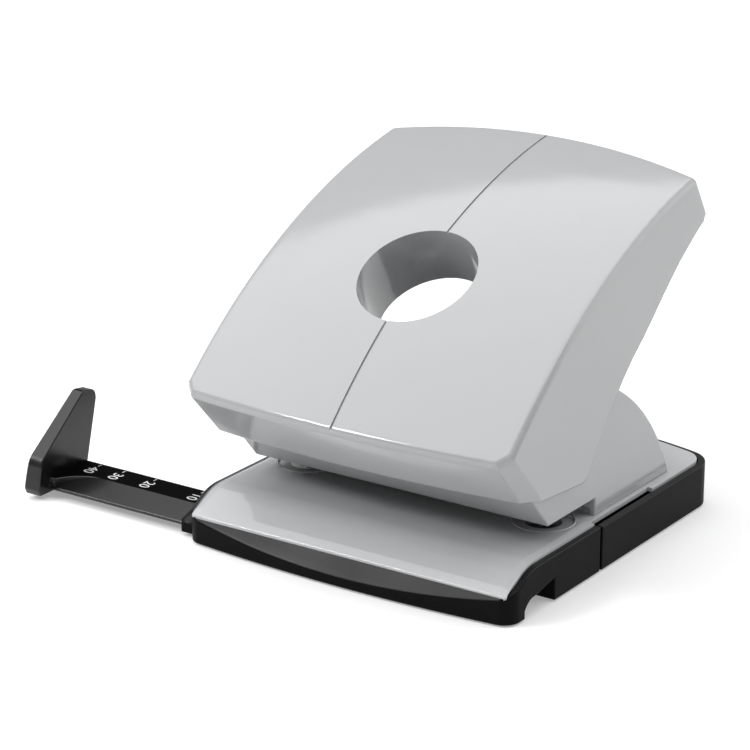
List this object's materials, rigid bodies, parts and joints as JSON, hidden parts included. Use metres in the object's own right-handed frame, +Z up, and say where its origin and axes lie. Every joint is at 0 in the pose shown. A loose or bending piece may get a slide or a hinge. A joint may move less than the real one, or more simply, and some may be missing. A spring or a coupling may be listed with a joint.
{
  "type": "desk hole punch",
  "caption": "Hand-operated desk punch: a broad lever with a hand hole drives coupled punch pins through a paper slot; chip tray below, sliding paper guide at the side.",
  "frame": {"origin": "on the mid-plane below the punch pins, at the surface the punch stands on", "axes": "+X to the right along the line through both pins, +Y to the rear where the lever is pressed, +Z up"},
  "size_m": [0.1682, 0.1256, 0.1046],
  "materials": {
    "gray_plastic": "moulded plastic, satin to glossy",
    "gray_table": "high gloss",
    "black_plastic": "satin black plastic",
    "zinc_steel": "zinc plated sheet steel",
    "bright_steel": "ground steel",
    "rubber": "matte rubber"
  },
  "bodies": {
    "base": {"base_moulding": "black_plastic", "paper_table": "gray_table", "rear_deck": "gray_plastic", "steel_base_plate": "zinc_steel", "punch_tower": "gray_plastic", "punch_frame": "zinc_steel", "frame_rivets": "zinc_steel", "pivot_axle": "bright_steel", "axle_clips": "bright_steel", "pin_guide_left": "black_plastic", "pin_guide_right": "black_plastic", "die_left": "bright_steel", "die_right": "bright_steel", "return_spring_left": "bright_steel", "return_spring_right": "bright_steel", "detent_spring": "bright_steel", "base_screws": "bright_steel", "front_pad": "rubber"},
    "lever": {"lever_shell": "gray_plastic", "lever_frame": "zinc_steel", "press_bar": "bright_steel", "lever_screws": "bright_steel"},
    "pin_left": {"punch_pin_left": "bright_steel", "spring_washer_left": "bright_steel"},
    "pin_right": {"punch_pin_right": "bright_steel", "spring_washer_right": "bright_steel"},
    "chip_tray": {"chip_tray": "black_plastic", "rear_pad": "rubber"},
    "paper_guide": {"paper_guide": "black_plastic"}
  },
  "joints": [
    {"name": "lever_hinge", "type": "hinge", "parent": "base", "child": "lever", "pos_m": [0, -0.01715, 0.038], "axis": [-1, 0, 0], "range_deg": [0, 26], "stiffness_Nm_per_rad": 1.5, "springref_deg": -11.46},
    {"name": "pin_slide_left", "type": "slide", "parent": "base", "child": "pin_left", "axis": [0, 0, -1], "range_m": [0, 0.00795], "deforming": ["return_spring_left"]},
    {"name": "pin_slide_right", "type": "slide", "parent": "base", "child": "pin_right", "axis": [0, 0, -1], "range_m": [0, 0.00795], "deforming": ["return_spring_right"]},
    {"name": "tray_hinge", "type": "hinge", "parent": "base", "child": "chip_tray", "pos_m": [0, 0.0073, 0.0005], "axis": [-1, 0, 0], "range_deg": [0, 60]},
    {"name": "guide_slide", "type": "slide", "parent": "base", "child": "paper_guide", "axis": [-1, 0, 0], "range_m": [-0.0345, 0.0435]}
  ],
  "couplings": [
    {"joint": "pin_slide_left", "follows": "lever_hinge", "m_per_rad": 0.017453},
    {"joint": "pin_slide_right", "follows": "lever_hinge", "m_per_rad": 0.017453}
  ]
}
